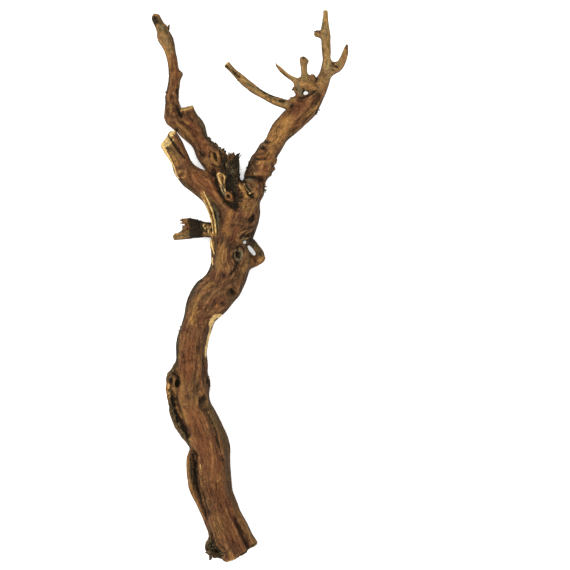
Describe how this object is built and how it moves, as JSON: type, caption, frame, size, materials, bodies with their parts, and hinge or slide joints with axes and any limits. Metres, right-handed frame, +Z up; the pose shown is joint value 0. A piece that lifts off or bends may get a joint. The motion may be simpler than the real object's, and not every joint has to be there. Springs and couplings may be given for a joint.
{
  "type": "grapevine wood branch",
  "caption": "Sanded grapevine wood: a gnarled vine trunk with forks, spurs and bare canes, lying flat as a natural decoration or perch.",
  "frame": {"origin": "middle of the bounding box's bottom, on the ground that the wood lies on", "axes": "+Z up from the ground, +Y along the length from the sawn foot to the canes, +X across towards the arm with the long cane"},
  "size_m": [0.1982, 0.552, 0.0557],
  "materials": {
    "sanded_vine_wood": "satin sanded wood with remnants of bark"
  },
  "bodies": {
    "root": {"grapevine_wood": "sanded_vine_wood"}
  },
  "joints": []
}
